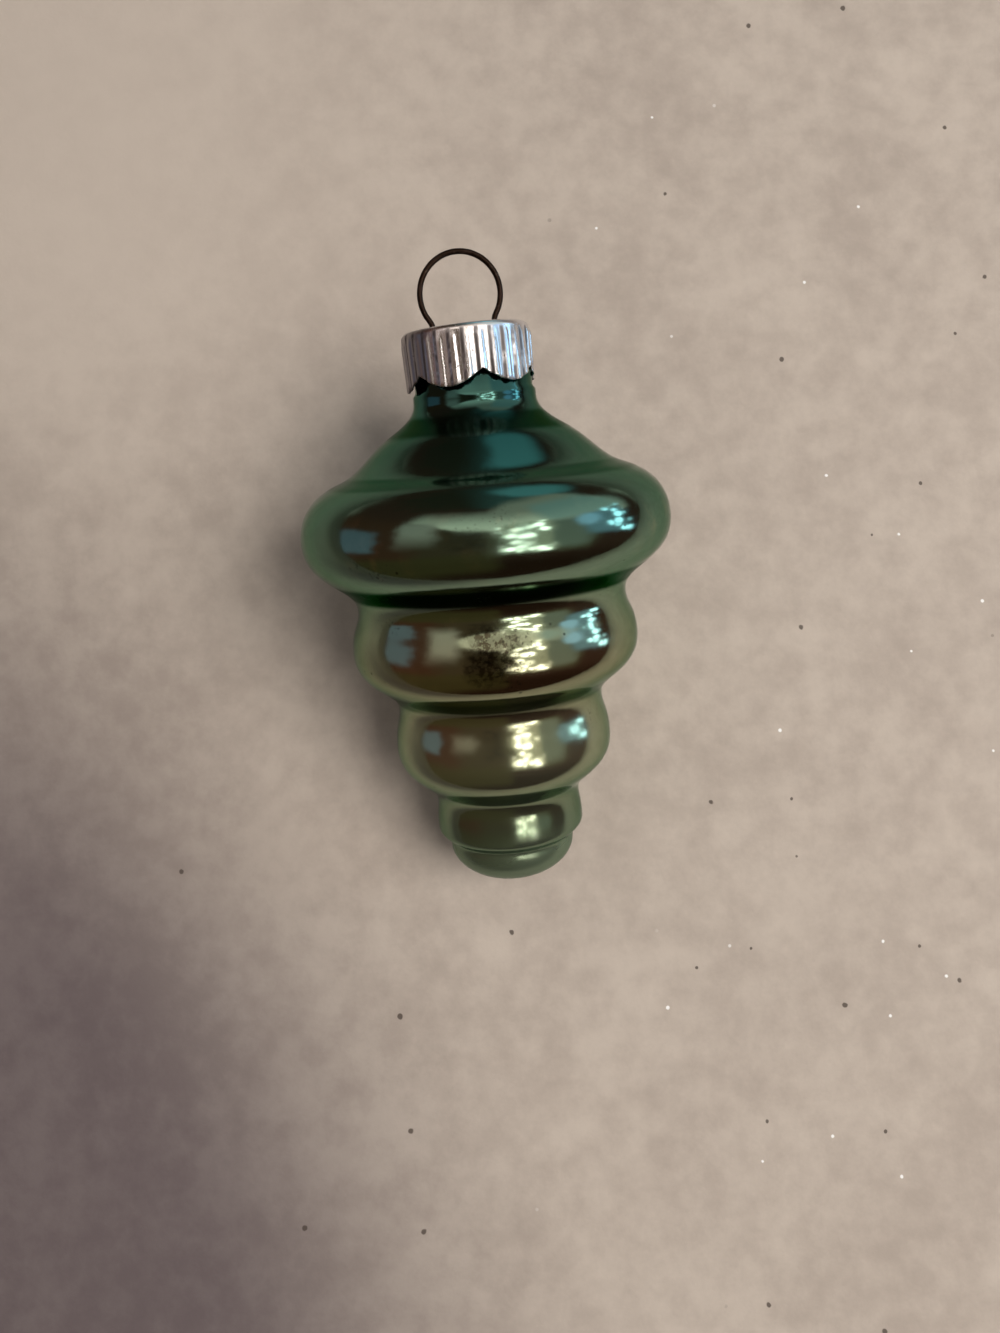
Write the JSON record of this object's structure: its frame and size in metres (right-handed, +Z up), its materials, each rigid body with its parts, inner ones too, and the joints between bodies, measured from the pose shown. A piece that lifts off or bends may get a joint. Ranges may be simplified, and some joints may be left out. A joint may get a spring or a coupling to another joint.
{
  "type": "mercury glass ornament",
  "caption": "Silvered glass ornament of stacked rounded rings that taper to a ball tip, with a fluted scalloped metal cap and a wire loop to hang it by.",
  "frame": {"origin": "the hang point, the inside top of the wire loop", "axes": "+Z up the ornament's axis towards the loop, +X across the loop in its plane, -Y towards the side the picture shows"},
  "size_m": [0.047, 0.047, 0.0811],
  "materials": {
    "glass_body": "green lacquered mercury glass, glossy, with worn silvering",
    "silver_lining": "silvered film, slightly tarnished",
    "metal_cap": "bright crimped sheet, grimy in the flutes",
    "wire_hanger": "dark brown oxidised spring wire"
  },
  "bodies": {
    "glass": {"glass_body": "glass_body", "silver_lining": "silver_lining"},
    "cap": {"metal_cap": "metal_cap"},
    "hanger": {"wire_hanger": "wire_hanger"}
  },
  "joints": [
    {"name": "hanger_slide", "type": "slide", "parent": "hanger", "child": "cap", "axis": [0, 0, -1], "range_m": [0, 0.003]},
    {"name": "cap_pull_off", "type": "slide", "parent": "cap", "child": "glass", "axis": [0, 0, -1], "range_m": [0, 0.014]}
  ]
}
